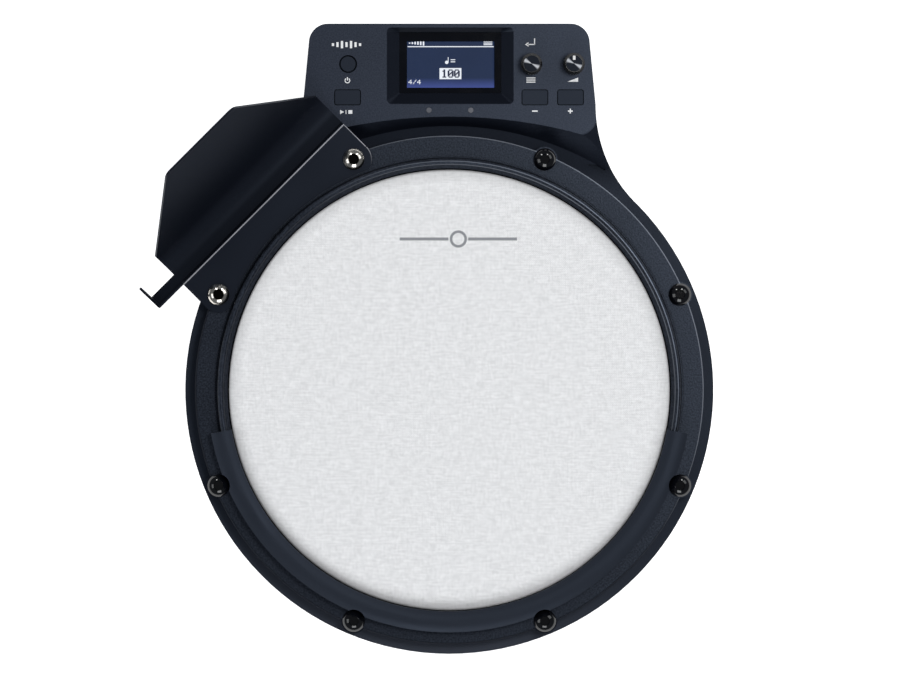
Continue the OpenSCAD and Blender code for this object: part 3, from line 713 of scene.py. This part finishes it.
# ---------------------------------------------------------------- woven head
def woven_head():
    """The stretched head: a flat field, a rolled edge over the ridge and a short skirt."""
    flat_r = 125.2
    rings_across = 40
    around = 240
    top = HEAD_Z / MM
    profile = [(flat_r * step / rings_across, top) for step in range(rings_across + 1)]
    profile += [(125.9, top - 0.3), (126.4, top - 0.7), (126.7, top - 1.3),
                (126.7, top - 4.9), (126.7, top - 9.0)]
    mesh = bpy.data.meshes.new("head_weave")
    bm = bmesh.new()
    centre = bm.verts.new((0, 0, HEAD_Z))
    rings = []
    for r, z in profile[1:]:
        rings.append([bm.verts.new((r * MM * math.cos(2 * math.pi * i / around),
                                    r * MM * math.sin(2 * math.pi * i / around), z * MM))
                      for i in range(around)])
    for i in range(around):
        j = (i + 1) % around
        bm.faces.new((centre, rings[0][i], rings[0][j]))
        for a, b in zip(rings, rings[1:]):
            bm.faces.new((a[i], b[i], b[j], a[j]))
    for face in bm.faces:
        face.smooth = True
    bm.to_mesh(mesh)
    bm.free()
    obj = piece("head_weave", mesh, weave())
    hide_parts("mesh_head")


woven_head()

# ---------------------------------------------------------------- display picture
GLYPHS = {"1": "00100 01100 00100 00100 00100 00100 01110",
          "0": "01110 10001 10011 10101 11001 10001 01110",
          "4": "00010 00110 01010 10010 11111 00010 00010",
          "/": "00001 00010 00010 00100 01000 01000 10000"}
LAYER = 0.03 * MM


def pixel_text(text, left, base, cell_w, cell_h, bold=0.0):
    """Rows of dots that spell digits on the display, merged along each row."""
    shapes = []
    for n, letter in enumerate(text):
        for row, bits in enumerate(GLYPHS[letter].split()):
            start = None
            for col, bit in enumerate(bits + "0"):
                if bit == "1" and start is None:
                    start = col
                if bit == "0" and start is not None:
                    x0 = left + (n * 6 + start) * cell_w
                    x1 = left + (n * 6 + col) * cell_w
                    y = base + (6.5 - row) * cell_h
                    shapes.append(bar((x0 + x1) / 2, y, x1 - x0 + bold, cell_h))
                    start = None
    return shapes


blue = lit("display_blue", (0.056, 0.085, 0.31), (0.010, 0.024, 0.071))
bright = lit("display_white", (0.95, 0.97, 1.0), (0.94, 0.965, 1.0), 1.05)
dark = lit("display_dark", (0.02, 0.025, 0.06), (0.02, 0.025, 0.06))
# The marks are drawn from the middle of the picture, in millimetres.
status_line = bar(0, 10.4, 49.6, 0.55)
tempo_field = bar(-0.1, -5.15, 12.6, 6.4)
signal_bars = [bar(-23.65 + 1.6 * i, 12.45, 0.9, 0.6 + 0.45 * i) for i in range(6)]
menu_lines = [bar(21.55, 11.55 + 0.9 * i, 5.0, 0.5) for i in range(3)]
note = arc_band(-2.25, 1.35, 0.5, 1.0, steps=12) + [bar(-1.4, 2.75, 0.4, 3.2)]
equals = [bar(1.35, 2.85, 2.6, 0.5), bar(1.35, 1.65, 2.6, 0.5)]
time_signature = pixel_text("4/4", -24.35, -11.25, 0.42, 0.36)
marks = [status_line, tempo_field] + time_signature + signal_bars + menu_lines + note + equals
digits = pixel_text("100", -5.1, -7.5, 0.60, 0.68, 0.46)
for name, outlines, height, mat in (
        ("display_field", [bar(0, 0, *PICTURE_SIZE)], 0, blue),
        ("display_marks", marks, LAYER, bright),
        ("display_digits", digits, 2 * LAYER, dark)):
    flat_shapes(name, moved(outlines, PICTURE_AT), SCREEN_Z + height, mat, 0.02)


# ---------------------------------------------------------------- edges of the frame's nodes
def soften(name, width, angle=28):
    """Rounds the sharp edges of a carried-over node by a fraction of a millimetre."""
    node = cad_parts[name]
    flat = node.modifiers.new("planar", "DECIMATE")
    flat.decimate_type = "DISSOLVE"
    flat.angle_limit = math.radians(0.6)
    bevel = node.modifiers.new("edges", "BEVEL")
    bevel.width = width * MM
    bevel.segments = 2
    bevel.limit_method = "ANGLE"
    bevel.angle_limit = math.radians(angle)
    bevel.harden_normals = False
    node.modifiers.new("normals", "WEIGHTED_NORMAL").keep_sharp = False


for name, width in (("hoop", 0.35), ("upper_shell", 0.45), ("device_rest", 0.3),
                    ("rim_guard", 0.6), ("play_button", 0.3), ("minus_button", 0.3),
                    ("plus_button", 0.3), ("power_button", 0.25)):
    soften(name, width)
for k in range(1, 9):
    soften(f"tension_bolt_{k}", 0.2, 35)

# ---------------------------------------------------------------- floor
FLOOR_HALF = 4
mesh = bpy.data.meshes.new("floor")
mesh.from_pydata([(x * FLOOR_HALF, y * FLOOR_HALF, 0)
                  for x, y in ((-1, -1), (1, -1), (1, 1), (-1, 1))], [], [(0, 1, 2, 3)])
floor = bpy.data.objects.new("floor", mesh)
scene.collection.objects.link(floor)
paper = Mat("floor_paper", (0.93, 0.93, 0.93), 0.9, specular=0.1)
paper.put("Emission Color", (1, 1, 1, 1))
paper.put("Emission Strength", 0.85)
mottle = paper.noise(30, 3.0)
paper_tone = paper.tint(paper.spread(mottle, 0, 1), (0.92, 0.92, 0.92), (0.94, 0.94, 0.94))
dress(floor, paper.finish(paper_tone))
